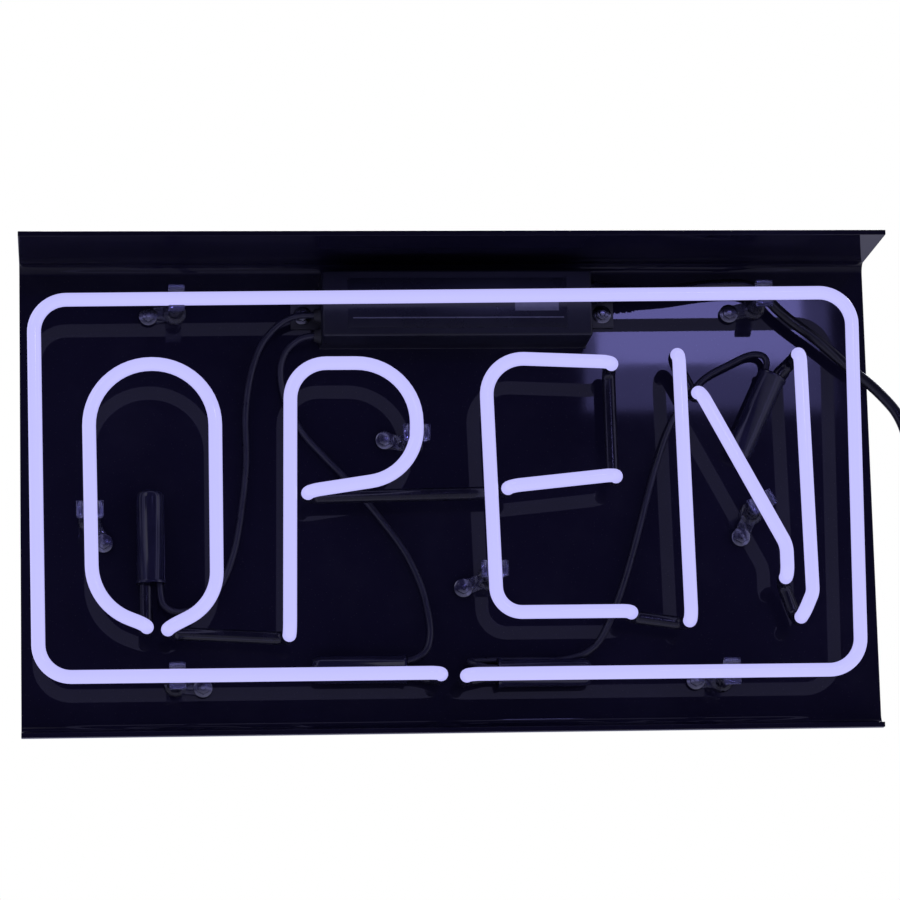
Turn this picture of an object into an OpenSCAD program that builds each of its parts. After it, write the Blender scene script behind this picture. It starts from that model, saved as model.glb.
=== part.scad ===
// Lighted window sign: hand-bent neon glass on a folded black acrylic board.
// Every part is drawn with x to the right, y up and z forward from the face of the panel,
// and upright() then stands the sign up, with its back face in the plane y = 0.

/* [Board] */
// Width of the backboard
board_w = 508; // [506:1:530]
// Height between the inner faces of the hood and the lip
board_h = 280; // [278:1:290]
// Thickness of the acrylic sheet
sheet_t = 3; // [2.5:0.5:4]
// Reach of the hood in front of the panel
hood_depth = 76; // [60:1:90]
// Reach of the bottom lip in front of the panel
lip_depth = 11; // [9:1:14]
// Inside radius of both folds
fold_r = 6; // [4:0.5:7]

/* [Glass] */
// Outer diameter of the neon glass
glass_d = 8; // [7.5:0.5:8.5]
// Height of the lit tubes' centre line over the panel
glass_h = 42; // [41:0.5:44]
// Height of the blacked-out crossovers' centre line over the panel
crossover_h = 20; // [18:0.5:21]
// Centre-line radius of the tight bends that turn the glass to the back
turn_back_r = 7; // [6:0.5:7.5]
// Centre-line radius of the border's corners
border_r = 19; // [14:1:24]

/* [Supports] */
// Length of a support's saddle along the glass
clip_len = 9.5; // [7:0.5:12]
// Outer radius of a support's saddle
clip_r = 8; // [7:0.25:8.5]
// Radius of a support's post under its saddle
post_r = 4.5; // [3.5:0.5:4.5]
// Distance from the post to the screw in the foot's ear
ear_reach = 16; // [14:0.5:18]

/* [Electrodes] */
// Outer radius of the silicone boots
boot_r = 8.25; // [8:0.25:8.5]
// Length of the silicone boots
boot_len = 56; // [54:1:60]
// Height of the boots' centre line over the panel
boot_h = 11; // [9:0.5:12]
// Diameter of the high-voltage leads
lead_d = 4; // [3:0.5:4]

/* [Power supply] */
// Length of the power supply's case
case_len = 160; // [150:1:164]
// Width of the power supply's case
case_w = 40; // [36:1:42]
// Depth of the case in front of the panel
case_depth = 36; // [30:1:36]

/* [Mains cord] */
// Diameter of the mains cord
cord_d = 6.5; // [6:0.5:7]
// Centre-line radius of the coil that the spare cord is wound in
coil_r = 36; // [34:1:40]

/* [Hidden] */
$fn = 48;

glass_r = glass_d / 2;
weld_len = 0.8;
weld_rise = 0.06;
// The lit glass ends just past the bend that turns it to the back
lit_end_h = glass_h - turn_back_r - 0.5;

// Corners of the border, and its two ends
BORDER_BL = [-243.5, -112, glass_h];
BORDER_TL = [-245.3, 110, glass_h];
BORDER_TR = [238.5, 113, glass_h];
BORDER_BR = [235, -113, glass_h];
BORDER_END_L = [-11, -112, glass_h];
BORDER_END_R = [4, -113, glass_h];
corner_leg = border_r + 4;

// Corners of the letters
O_BL = [-212.5, -70, glass_h];
O_TL = [-214, 71.5, glass_h];
O_TR = [-140.2, 71.5, glass_h];
O_BR = [-140.7, -70, glass_h];
P_TL = [-95.9, 71.5, glass_h];
P_TR = [-22.5, 71.5, glass_h];
P_BOWL = [-22.5, 5, glass_h];
E_TL = [18.6, 74.5, glass_h];
E_BL = [22, -77, glass_h];
N_DIAGONAL_TURN = [193.7, -39, glass_h];
N_RIGHT_TURN = [208.2, -67, glass_h];

// Ends of the letters, where the glass turns to the back
O_END_L = [-181.2, -82.5, glass_h];
O_END_R = [-169, -84, glass_h];
P_FOOT = [-98.8, -88, glass_h];
P_END = [-86.5, -4.5, glass_h];
E_BAR_L = [31, -2.5, glass_h];
E_BAR_R = [95, 4, glass_h];
E_TOP_R = [94.5, 71.5, glass_h];
E_BOTTOM_R = [101.5, -77, glass_h];
N_LEFT_TOP = [133.8, 77, glass_h];
N_LEFT_FOOT = [135.9, -82, glass_h];
N_DIAGONAL_TOP = [145.5, 54, glass_h];
N_DIAGONAL_FOOT = [193.7, -57, glass_h];
N_RIGHT_TOP = [206.3, 77, glass_h];
N_RIGHT_FOOT = [202, -80.5, glass_h];

// Each boot: the middle of its mouth, the way in, and the side that the lead lies on
BOOT_O = [[-178, -54, boot_h], [0, 1, 0], [1, 0, 0]];
BOOT_N = [[194.8, 69.4, boot_h], unit([-27, -56, 0]), unit([-56, 27, 0])];
BOOT_L = [[-29, -105.5, boot_h], [-1, 0, 0], [0, 1, 0]];
BOOT_R = [[24, -108.5, boot_h], [1, 0, 0], unit([0, 1, 1.75])];
boot_wall = 0.95;
glass_aside = boot_r - boot_wall - glass_r - 0.1;
lead_aside = boot_r - boot_wall - lead_d / 2 - 0.1;
glass_in_boot = 46;
boot_rim = 2.5;
BOOTS = [BOOT_O, BOOT_N, BOOT_L, BOOT_R];
electrode_r = 2.8;
electrode_len = 30;

// Each support: its place, the tube's direction there, and the ear's direction, in degrees
SUPPORT_TL = [-162, 111, 0, 188];
SUPPORT_TR = [186.5, 112.7, 0, 193];
SUPPORT_BL = [-164, -112, 0, -8];
SUPPORT_BR = [159, -113, 0, 180];
SUPPORT_O = [-213.4, -14, 90, -60];
SUPPORT_P = [-22.6, 30, 90, 170];
SUPPORT_E = [21.3, -51, 90, 200];
SUPPORT_N = [180, -13, -62, -115];
SUPPORTS = [SUPPORT_TL, SUPPORT_TR, SUPPORT_BL, SUPPORT_BR, SUPPORT_O, SUPPORT_P, SUPPORT_E, SUPPORT_N];
clip_grip = 1.5;
ease_r = 24;
foot_t = 3;
foot_r = 7;
ear_r = 5;
ear_w = 9;

// Screws and nuts
screw_r = 2;
hole_r = 2.15;
screw_head_r = 3.6;
screw_head_t = 1.6;
screw_reach = 7.5;
nut_r = 4.04;
nut_t = 4;
flange_r = 5.6;
flange_t = 1;

// Power supply
case_x = 4;
case_y = 109;
case_wall = 2;
base_t = 2;
ear_x = 90;
bushing_h = 15;
bushing_r = 4;
BUSHINGS = [case_y - 3, case_y - 15];
gland_y = 119;
gland_h = 17;
gland_r = 5;
board_len = 138;
board_depth = 34;
board_z = 6;
board_t = 1.6;
core_x = -38;
core_mid = 20;
core_leg_r = 5;
winding_r = 10.5;
case_right = case_x + case_len / 2;
case_left = case_x - case_len / 2;
SUPPLY_SCREWS = [[case_x - ear_x, case_y], [case_x + ear_x, case_y]];

// Coil, tail and plug of the mains cord
coil_x = 319;
coil_y = -22;
coil_h = 11;
bundle_r = 10.8;
coil_left = coil_x - coil_r;
coil_gap = 33.5;
plug_x = 293;
plug_y = -84;
plug_len = 34;

// Middle line of each lead and of the cord, in hand-chosen points
LEAD_O_PATH = [[-70, 106, 15], [-90, 106, 15], [-102, 100, 13], [-112, 88, 10], [-118, 70, 7], [-121, 48, 5],
    [-121, 20, 5], [-124, -8, 5], [-129, -34, 5], [-137, -54, 5], [-149, -66, 6], [-162, -70, 9],
    [-170.5, -66.5, boot_h], [-172.8, -58, boot_h], [-172.8, -48, boot_h], [-172.8, -12, boot_h]];
LEAD_BORDER_PATH = [[-70, 94, 15], [-86, 93, 15], [-96, 86, 12], [-100, 74, 8], [-97, 56, 5], [-87, 37, 5],
    [-73, 21, 5], [-58, 5, 5], [-42, -15, 5], [-28, -35, 5], [-19, -55, 5], [-15, -73, 6],
    [-14.5, -86, 8], [-18, -95.5, 10], [-27, -100.3, boot_h], [-38, -100.3, boot_h], [-70, -100.3, boot_h]];
LEAD_N_PATH = [[172.8, 35.7, boot_h], [186, 63.2, boot_h], [190.5, 72.5, boot_h], [191.6, 78.5, 10],
    [188.5, 82.5, 8], [181, 82.5, 6], [169, 77, 5], [156, 70, 5], [146, 60, 5], [133, 41, 5], [122, 12, 5],
    [111.5, -24, 5], [101, -57, 5], [90, -83, 5], [80, -95, 5], [64, -100.1, 4], [42, -100.1, 4],
    [22, -100.1, 4], [12, -100.6, 6], [8, -101.6, 10.5], [11.5, -103.6, 14.5], [18, -105.6, 15.6],
    [26, -105.9, 15.5], [66, -105.9, 15.5]];
CORD_PATH = [[81, gland_y, gland_h], [96, gland_y, gland_h], [114, gland_y, gland_h], [134, 120.5, 17],
    [156, 123.5, 16], [174, 124.5, 15], [183, 123, 15], [190.5, 118.5, 14.5], [198, 110, 14],
    [207.5, 101.5, 14], [220.5, 91.5, 14], [230, 83.5, 13], [238.5, 76, 12], [247, 69.5, 10],
    [255, 63, 9], [262.5, 55.5, 8.5], [269, 47.5, 8.5], [274.5, 38.5, 9], [278.5, 29, 9.5], [281.5, 20, 10],
    [coil_left, coil_y + coil_gap, coil_h]];
TAIL_PATH = [[coil_left, coil_y - coil_gap, coil_h], [coil_left + 2, -64, coil_h], [288, -74, coil_h],
    [plug_x, plug_y, coil_h]];

function unit(v) = v / norm(v);

// Headings of a bent tube's legs, the angle it turns through at a corner, and the length a bend takes up
function heading(p, i) = unit(p[i + 1] - p[i]);
function turn_at(p, i) = acos(heading(p, i - 1) * heading(p, i));
function trim_at(p, bends, i) = bends[i - 1] * tan(turn_at(p, i) / 2);

// A point on the way from a to b, and the end of a lit tube that has turned to the back
function along(a, b, d) = a + unit(b - a) * d;
function behind(p, h) = [p.x, p.y, h];

// Middle line of a smooth cord through its points
function spline(a, b, c, d, t) = 0.5 * (2 * b + (c - a) * t + (2 * a - 5 * b + 4 * c - d) * t * t
    + (3 * b - a - 3 * c + d) * t * t * t);
function smooth(p, n) = concat([for (i = [0 : len(p) - 2], k = [0 : n - 1])
    spline(p[max(i - 1, 0)], p[i], p[i + 1], p[min(i + 2, len(p) - 1)], k / n)], [p[len(p) - 1]]);
function tangent(p, i) = unit(p[min(i + 1, len(p) - 1)] - p[max(i - 1, 0)]);

// Directions across a cord, carried from ring to ring without twist
function carried(p, i, side) = i == len(p) ? [] :
    let (t = tangent(p, i), s = unit(side - (side * t) * t)) concat([s], carried(p, i + 1, s));

// The sign standing upright, with the panel's face toward -Y
module upright() {
    translate([0, -sheet_t, 0]) rotate([90, 0, 0]) children();
}

// Children drawn along z, set at a point so that z runs along axis and x towards side
module set_at(point, side, axis) {
    across = cross(axis, side);
    multmatrix([[side.x, across.x, axis.x, point.x], [side.y, across.y, axis.y, point.y],
        [side.z, across.z, axis.z, point.z], [0, 0, 0, 1]]) children();
}

// One straight length of tube
module straight(a, b, r) {
    d = unit(b - a);
    translate(a) rotate([0, acos(d.z), atan2(d.y, d.x)]) cylinder(h = norm(b - a), r = r);
}

// One bend of a tube at a corner
module bend(corner, d_in, d_out, bend_r, r) {
    side = unit(d_out - (d_in * d_out) * d_in);
    turn = acos(d_in * d_out);
    centre = corner - d_in * bend_r * tan(turn / 2) + side * bend_r;
    set_at(centre, -side, cross(-side, d_in)) rotate_extrude(angle = turn, $fn = 96)
        translate([bend_r, 0]) circle(r = r, $fn = 48);
}

// Where the tube's leg before or after a corner meets the bend
function bend_start(p, bends, i) = p[i] - heading(p, i - 1) * trim_at(p, bends, i);
function bend_end(p, bends, i) = p[i] + heading(p, i) * trim_at(p, bends, i);

// The faint ring where a straight length is joined to a bend
module weld(point, direction) {
    straight(point - direction * weld_len / 2, point + direction * weld_len / 2, glass_r + weld_rise);
}

// A tube through corner points, with the centre-line radius of each bend between
module bent_tube(p, bends) {
    last = len(p) - 1;
    for (i = [0 : last - 1]) {
        from = i == 0 ? p[0] : bend_end(p, bends, i);
        to = i == last - 1 ? p[last] : bend_start(p, bends, i + 1);
        straight(from, to, glass_r);
    }
    if (last > 1) for (i = [1 : last - 1]) {
        bend(p[i], heading(p, i - 1), heading(p, i), bends[i - 1], glass_r);
        weld(bend_start(p, bends, i), heading(p, i - 1));
        weld(bend_end(p, bends, i), heading(p, i));
    }
}

// A flexible round cord along a smooth line
module cord(p, r, sides = 8) {
    n = len(p);
    side = carried(p, 0, abs(tangent(p, 0).z) < 0.9 ? [0, 0, 1] : [1, 0, 0]);
    rings = [for (i = [0 : n - 1], k = [0 : sides - 1])
        p[i] + r * (cos(360 * k / sides) * side[i] + sin(360 * k / sides) * cross(tangent(p, i), side[i]))];
    walls = [for (i = [0 : n - 2], k = [0 : sides - 1])
        [i * sides + k, (i + 1) * sides + k, (i + 1) * sides + (k + 1) % sides,
            i * sides + (k + 1) % sides]];
    first = [for (k = [0 : sides - 1]) k];
    last = [for (k = [0 : sides - 1]) n * sides - 1 - k];
    polyhedron(points = rings, faces = concat(walls, [first, last]), convexity = 10);
}

// A countersunk hole through the board
module screw_hole(x, y) {
    translate([x, y, -sheet_t - 1]) cylinder(h = sheet_t + 2, r = hole_r);
    translate([x, y, -sheet_t]) cylinder(h = screw_head_t, r1 = screw_head_r + 0.15, r2 = hole_r);
}

function ear_at(s) = [s[0] + ear_reach * cos(s[3]), s[1] + ear_reach * sin(s[3])];
SCREWS = concat([for (s = SUPPORTS) concat(ear_at(s), [foot_t])],
    [for (s = SUPPLY_SCREWS) concat(s, [base_t])]);

// The sheet's outline in section: x is the depth in front of the panel and y is up
module fold_section() {
    half = board_h / 2;
    outer = fold_r + sheet_t;
    translate([-sheet_t, -half + fold_r]) square([sheet_t, board_h - 2 * fold_r]);
    translate([fold_r, half]) square([hood_depth - fold_r, sheet_t]);
    translate([fold_r, -half - sheet_t]) square([lip_depth - fold_r, sheet_t]);
    for (end = [0, 1]) mirror([0, end]) translate([fold_r, half - fold_r]) intersection() {
        difference() {
            circle(r = outer, $fn = 96);
            circle(r = fold_r, $fn = 96);
        }
        translate([-outer, 0]) square(outer);
    }
}

module backboard() {
    color("#0c0b14") upright() difference() {
        translate([board_w / 2, 0, 0]) rotate([0, -90, 0]) linear_extrude(board_w) fold_section();
        for (s = SCREWS) screw_hole(s[0], s[1]);
    }
}

// Lit glass, with each end turned to the back
module lit(p, bends) {
    color("#d9d6ff") upright() bent_tube(
        concat([behind(p[0], lit_end_h)], p, [behind(p[len(p) - 1], lit_end_h)]),
        concat([turn_back_r], bends, [turn_back_r]));
}

// A run of the border that holds no end of the glass
module lit_run(p, bends) {
    color("#d9d6ff") upright() bent_tube(p, bends);
}

module border_top() {
    lit_run([along(BORDER_TL, BORDER_TR, corner_leg), along(BORDER_TR, BORDER_TL, corner_leg)], []);
}

module border_left() {
    lit_run([along(BORDER_TL, BORDER_TR, corner_leg), BORDER_TL, BORDER_BL,
        along(BORDER_BL, BORDER_END_L, corner_leg)], [border_r, border_r]);
}

module border_right() {
    lit_run([along(BORDER_TR, BORDER_TL, corner_leg), BORDER_TR, BORDER_BR,
        along(BORDER_BR, BORDER_END_R, corner_leg)], [border_r, border_r]);
}

module border_bottom_left() {
    lit_run([along(BORDER_BL, BORDER_END_L, corner_leg), BORDER_END_L, behind(BORDER_END_L, lit_end_h)],
        [turn_back_r]);
}

module border_bottom_right() {
    lit_run([along(BORDER_BR, BORDER_END_R, corner_leg), BORDER_END_R, behind(BORDER_END_R, lit_end_h)],
        [turn_back_r]);
}

module letter_o() {
    lit([O_END_L, O_BL, O_TL, O_TR, O_BR, O_END_R], [34, 36.3, 36.3, 30]);
}

module letter_p() {
    lit([P_FOOT, P_TL, P_TR, P_BOWL, P_END], [21.5, 35, 32]);
}

module letter_e() {
    lit([E_TOP_R, E_TL, E_BL, E_BOTTOM_R], [22, 15]);
}

module letter_e_bar() {
    lit([E_BAR_L, E_BAR_R], []);
}

module letter_n_left() {
    lit([N_LEFT_TOP, N_LEFT_FOOT], []);
}

module letter_n_diagonal() {
    lit([N_DIAGONAL_TOP, N_DIAGONAL_TURN, N_DIAGONAL_FOOT], [18]);
}

module letter_n_right() {
    lit([N_RIGHT_TOP, N_RIGHT_TURN, N_RIGHT_FOOT], [12]);
}

// Blacked-out glass that joins two lit ends behind the letters
module crossover(a, b) {
    color("#14131c") upright() bent_tube([behind(a, lit_end_h), behind(a, crossover_h),
        behind(b, crossover_h), behind(b, lit_end_h)], [turn_back_r, turn_back_r]);
}

module crossover_o_p() {
    crossover(O_END_R, P_FOOT);
}

module crossover_p_e() {
    crossover(P_END, E_BAR_L);
}

module crossover_e_e() {
    crossover(E_BAR_R, E_TOP_R);
}

module crossover_e_n() {
    crossover(E_BOTTOM_R, N_LEFT_FOOT);
}

module crossover_n_top() {
    crossover(N_LEFT_TOP, N_DIAGONAL_TOP);
}

module crossover_n_bottom() {
    crossover(N_DIAGONAL_FOOT, N_RIGHT_FOOT);
}

// Points in a boot: on the glass's line and at a distance in from the mouth
function glass_at(boot, depth) = boot[0] - glass_aside * boot[2] + depth * boot[1];

// The glass between a lit end and the far end of its boot, bored for the electrode
module electrode_end(lit_end, boot, turns, bends) {
    tip = glass_at(boot, glass_in_boot);
    p = concat([behind(lit_end, lit_end_h), behind(lit_end, tip.z)], turns, [tip]);
    color("#2a2836") upright() difference() {
        bent_tube(p, concat([turn_back_r], bends));
        set_at(glass_at(boot, glass_in_boot - electrode_len - 1), boot[2], boot[1])
            cylinder(h = electrode_len, r = electrode_r + 0.2);
    }
}

module end_o() {
    electrode_end(O_END_L, BOOT_O, [], []);
}

module end_n() {
    electrode_end(N_RIGHT_TOP, BOOT_N, [glass_at(BOOT_N, -2.5)], [turn_back_r]);
}

module end_border_left() {
    electrode_end(BORDER_END_L, BOOT_L, [glass_at(BOOT_L, -6)], [ease_r]);
}

module end_border_right() {
    electrode_end(BORDER_END_R, BOOT_R, [glass_at(BOOT_R, -6)], [ease_r]);
}

// Metal shells in the four ends
module electrodes() {
    color("#9a9aa0") upright() for (boot = BOOTS)
        set_at(glass_at(boot, glass_in_boot - electrode_len - 0.9), boot[2], boot[1])
            cylinder(h = electrode_len - 0.2, r = electrode_r);
}

// Silicone boot, closed at its far end, bored for the glass and the lead
module silicone_boot(boot) {
    color("#6f6a86") upright() set_at(boot[0], boot[2], boot[1]) difference() {
        union() {
            cylinder(h = boot_len, r = boot_r);
            cylinder(h = boot_rim, r = boot_r + 0.6);
        }
        translate([-glass_aside, 0, -1]) cylinder(h = glass_in_boot + 1.2, r = glass_r + 0.1);
        translate([lead_aside, 0, -1]) cylinder(h = glass_in_boot - 3, r = lead_d / 2 + 0.1);
    }
}

module boot_o() {
    silicone_boot(BOOT_O);
}

module boot_n() {
    silicone_boot(BOOT_N);
}

module boot_border_left() {
    silicone_boot(BOOT_L);
}

module boot_border_right() {
    silicone_boot(BOOT_R);
}

// High-voltage lead
module lead(path) {
    color("#1b1922") upright() cord(smooth(path, 2), lead_d / 2);
}

module lead_o() {
    lead(LEAD_O_PATH);
}

module lead_n() {
    lead(LEAD_N_PATH);
}

module lead_border() {
    lead(LEAD_BORDER_PATH);
}

// Clear support: a foot with one screwed ear, a tapered post and a saddle that grips the glass
module support(s) {
    color("#c9c8da") upright() {
        difference() {
            union() {
                translate([s[0], s[1], 0]) {
                    cylinder(h = foot_t, r = foot_r);
                    cylinder(h = glass_h - glass_r - 1, r1 = post_r - 1, r2 = post_r);
                    rotate(s[3]) translate([0, -ear_w / 2, 0]) cube([ear_reach, ear_w, foot_t]);
                }
                translate(concat(ear_at(s), [0])) cylinder(h = foot_t, r = ear_r);
            }
            translate(concat(ear_at(s), [-1])) cylinder(h = foot_t + 2, r = hole_r);
        }
        translate([s[0], s[1], glass_h]) difference() {
            rotate([0, 90, s[2]]) cylinder(h = clip_len, r = clip_r, center = true);
            rotate([0, 90, s[2]]) cylinder(h = clip_len + 2, r = glass_r + 0.05, center = true);
            translate([0, 0, clip_r + clip_grip])
                cube([2 * clip_len, 2 * clip_len, 2 * clip_r], center = true);
        }
    }
}

module support_top_left() {
    support(SUPPORT_TL);
}

module support_top_right() {
    support(SUPPORT_TR);
}

module support_bottom_left() {
    support(SUPPORT_BL);
}

module support_bottom_right() {
    support(SUPPORT_BR);
}

module support_o() {
    support(SUPPORT_O);
}

module support_p() {
    support(SUPPORT_P);
}

module support_e() {
    support(SUPPORT_E);
}

module support_n() {
    support(SUPPORT_N);
}

// Countersunk screws, flush with the back of the board
module mounting_screws() {
    color("#8d8d92") upright() for (s = SCREWS) translate([s[0], s[1], -sheet_t]) {
        cylinder(h = screw_head_t, r1 = screw_head_r, r2 = screw_r);
        cylinder(h = sheet_t + screw_reach, r = screw_r);
    }
}

// Flanged hex nuts on the supports' ears and on the power supply's
module mounting_nuts() {
    color("#a9a9ae") upright() for (s = SCREWS) translate([s[0], s[1], s[2]]) difference() {
        union() {
            cylinder(h = flange_t, r = flange_r);
            cylinder(h = nut_t, r = nut_r, $fn = 6);
        }
        translate([0, 0, -1]) cylinder(h = nut_t + 2, r = screw_r + 0.05);
    }
}

// A block centred in x and y on the case, from one height over the panel to another
module block(x, y, w, d, from, to) {
    translate([x - w / 2, y - d / 2, from]) cube([w, d, to - from]);
}

module supply_base() {
    color("#3a3a42") upright() difference() {
        union() {
            block(case_x, case_y, case_len, case_w, 0, base_t);
            block(case_x, case_y, 2 * ear_x + 14, 16, 0, base_t);
        }
        for (s = SUPPLY_SCREWS) translate([s[0], s[1], -1]) cylinder(h = base_t + 2, r = hole_r);
    }
}

module supply_case() {
    color("#17161f") upright() difference() {
        block(case_x, case_y, case_len, case_w, base_t, case_depth);
        block(case_x, case_y, case_len - 2 * case_wall, case_w - 2 * case_wall,
            base_t - 1, case_depth - case_wall);
        for (y = BUSHINGS) translate([case_left - 1, y, bushing_h]) rotate([0, 90, 0])
            cylinder(h = case_wall + 2, r = bushing_r);
        translate([case_right - case_wall - 1, gland_y, gland_h]) rotate([0, 90, 0])
            cylinder(h = case_wall + 2, r = gland_r);
    }
}

module circuit_board() {
    color("#2e6b3c") upright() {
        block(case_x, case_y, board_len, board_depth, board_z, board_z + board_t);
        for (x = [-1, 1], y = [-1, 1]) translate([case_x + x * 62, case_y + y * 14, base_t])
            cylinder(h = board_z - base_t, r = 2);
    }
}

// Round piece that lies along y on the ferrite core's middle line
module along_core(length, r) {
    translate([core_x, case_y + length / 2, core_mid]) rotate([90, 0, 0]) cylinder(h = length, r = r);
}

module ferrite_core() {
    color("#26262a") upright() {
        difference() {
            block(core_x, case_y, 36, 32, core_mid - 8, core_mid + 8);
            block(core_x, case_y, 26, 20, core_mid - 9, core_mid + 9);
        }
        along_core(20.4, core_leg_r);
    }
}

module winding() {
    color("#b0713a") upright() difference() {
        along_core(19, winding_r);
        along_core(21, core_leg_r + 0.1);
    }
}

module capacitors() {
    color("#3b4a72") upright() for (x = [2, 18], y = [-9, 9])
        translate([x, case_y + y, board_z + board_t]) cylinder(h = 21, r = 6.5);
}

module heat_sink() {
    color("#a5a7ab") upright() {
        block(48, case_y, 34, 28, board_z + board_t, board_z + board_t + 3);
        for (k = [0 : 5]) block(33 + 6 * k, case_y, 1.6, 28, board_z + board_t, board_z + board_t + 18);
    }
}

// Rubber bushings that the leads leave the case through
module lead_bushings() {
    color("#101014") upright() for (y = BUSHINGS)
        translate([case_left, y, bushing_h]) rotate([0, 90, 0]) difference() {
            union() {
                translate([0, 0, -4]) cylinder(h = 4, r1 = bushing_r, r2 = bushing_r + 1.2);
                cylinder(h = case_wall, r = bushing_r);
                translate([0, 0, case_wall]) cylinder(h = 1.5, r = bushing_r + 1.2);
            }
            translate([0, 0, -5]) cylinder(h = 12, r = lead_d / 2 + 0.1);
        }
}

module label_plate() {
    color("#c8c8d4") upright() block(case_x, case_y, 130, 30, case_depth, case_depth + 0.4);
}

module cord_gland() {
    color("#111116") upright() translate([case_right, gland_y, gland_h]) rotate([0, 90, 0]) difference() {
        union() {
            translate([0, 0, -case_wall - 3]) cylinder(h = 3, r = gland_r + 2, $fn = 6);
            translate([0, 0, -case_wall]) cylinder(h = case_wall, r = gland_r);
            cylinder(h = 4, r = gland_r + 2.5, $fn = 6);
            translate([0, 0, 4]) cylinder(h = 8, r1 = gland_r + 1.4, r2 = gland_r - 0.4);
        }
        translate([0, 0, -10]) cylinder(h = 30, r = cord_d / 2 + 0.1);
    }
}

module power_cord() {
    color("#0e0e12") upright() cord(smooth(CORD_PATH, 3), cord_d / 2, 10);
}

module cord_coil() {
    color("#0e0e12") upright() translate([coil_x, coil_y, coil_h]) rotate_extrude($fn = 72)
        translate([coil_r, 0]) circle(r = bundle_r);
}

module cord_tail() {
    color("#0e0e12") upright() cord(smooth(TAIL_PATH, 3), cord_d / 2, 10);
}

// Strap round the coil's bundle
module cord_tie() {
    color("#1c1c20") upright() translate([coil_x, coil_y + coil_r, coil_h]) rotate([0, 90, 0]) difference() {
        cylinder(h = 9, r = bundle_r + 1.8, center = true);
        cylinder(h = 11, r = bundle_r + 0.4, center = true);
    }
}

module plug() {
    color("#121216") upright() translate([plug_x, plug_y, coil_h]) rotate([90, 0, 0]) {
        cylinder(h = 12, r1 = 4.6, r2 = 8);
        translate([0, 0, 11]) cylinder(h = 6, r = 9.5);
        translate([-12, -9, 16]) cube([24, 18, plug_len - 16]);
    }
}

// Two blades and an earth pin
module plug_pins() {
    color("#c9b26a") upright() translate([plug_x, plug_y - plug_len, coil_h]) rotate([90, 0, 0]) {
        for (side = [-1, 1]) translate([side * 6.35 - 0.75, -5.5, 0]) cube([1.5, 6.4, 17]);
        translate([0, 5.2, 0]) cylinder(h = 19, r = 2.4);
    }
}

backboard();
border_top();
border_left();
border_right();
border_bottom_left();
border_bottom_right();
letter_o();
letter_p();
letter_e();
letter_e_bar();
letter_n_left();
letter_n_diagonal();
letter_n_right();
crossover_o_p();
crossover_p_e();
crossover_e_e();
crossover_e_n();
crossover_n_top();
crossover_n_bottom();
end_o();
end_n();
end_border_left();
end_border_right();
electrodes();
boot_o();
boot_n();
boot_border_left();
boot_border_right();
lead_o();
lead_n();
lead_border();
support_top_left();
support_top_right();
support_bottom_left();
support_bottom_right();
support_o();
support_p();
support_e();
support_n();
mounting_screws();
mounting_nuts();
supply_base();
supply_case();
circuit_board();
ferrite_core();
winding();
capacitors();
heat_sink();
lead_bushings();
label_plate();
cord_gland();
power_cord();
cord_coil();
cord_tail();
cord_tie();
plug();
plug_pins();
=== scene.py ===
"""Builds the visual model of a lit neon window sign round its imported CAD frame.

Every shape is worked out in the panel's own frame, in millimetres: x to the viewer's right,
y up, and z (the height) forward from the face of the panel. One matrix then stands it up.
"""

import logging
import math
from collections.abc import Iterable, Sequence
from dataclasses import dataclass, field
from enum import Enum

import bmesh
import bpy
from mathutils import Euler, Matrix, Vector

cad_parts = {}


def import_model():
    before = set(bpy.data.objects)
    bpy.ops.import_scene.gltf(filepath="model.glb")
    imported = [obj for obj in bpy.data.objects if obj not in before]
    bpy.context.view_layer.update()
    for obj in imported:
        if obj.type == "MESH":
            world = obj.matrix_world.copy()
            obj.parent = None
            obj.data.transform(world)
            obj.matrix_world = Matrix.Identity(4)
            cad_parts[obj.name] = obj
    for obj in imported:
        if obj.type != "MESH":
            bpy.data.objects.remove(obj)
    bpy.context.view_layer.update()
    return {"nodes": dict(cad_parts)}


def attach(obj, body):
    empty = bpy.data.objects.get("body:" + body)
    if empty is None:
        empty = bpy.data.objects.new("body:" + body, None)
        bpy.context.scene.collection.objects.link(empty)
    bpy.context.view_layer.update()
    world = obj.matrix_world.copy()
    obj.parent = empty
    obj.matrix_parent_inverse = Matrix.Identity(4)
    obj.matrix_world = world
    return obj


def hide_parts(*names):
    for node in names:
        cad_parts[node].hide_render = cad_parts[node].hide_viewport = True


Spot = tuple[float, float]
Point = tuple[float, float, float]
Colour = tuple[float, float, float]
Angles = tuple[float, float, float]
Span = tuple[float, float]
Socket = bpy.types.NodeSocket

log = logging.getLogger("neon_sign")

MM = 0.001
SHEET = 3.0
BODY = "root"
STAND_UP = Matrix.Scale(MM, 4) @ Matrix(((1, 0, 0, 0), (0, 0, -1, -SHEET), (0, 1, 0, 0), (0, 0, 0, 1)))

GLASS_RADIUS = 4.0
GLASS_HEIGHT = 42.0
CROSSOVER_HEIGHT = 20.0
TURN_BACK = 7.0
EASE = 24.0
LIT_END_HEIGHT = GLASS_HEIGHT - TURN_BACK - 0.5
BOOT_HEIGHT = 11.0
GLASS_ASIDE = 3.2
LEAD_RADIUS = 2.0
CORD_DIAMETER = 6.5
SQUARE_ON = 0.9999

MIDDLE = (0.0, 0.0, 0.0)
DUSK = (0.36, 0.34, 1.0)
COOL = (0.85, 0.85, 1.0)
WHITE = (1.0, 1.0, 1.0)


# Geometry helpers


def vectors(points: Iterable[Sequence[float]]) -> list[Vector]:
    """Turns plain triples into vectors."""
    return [Vector(point) for point in points]


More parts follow.
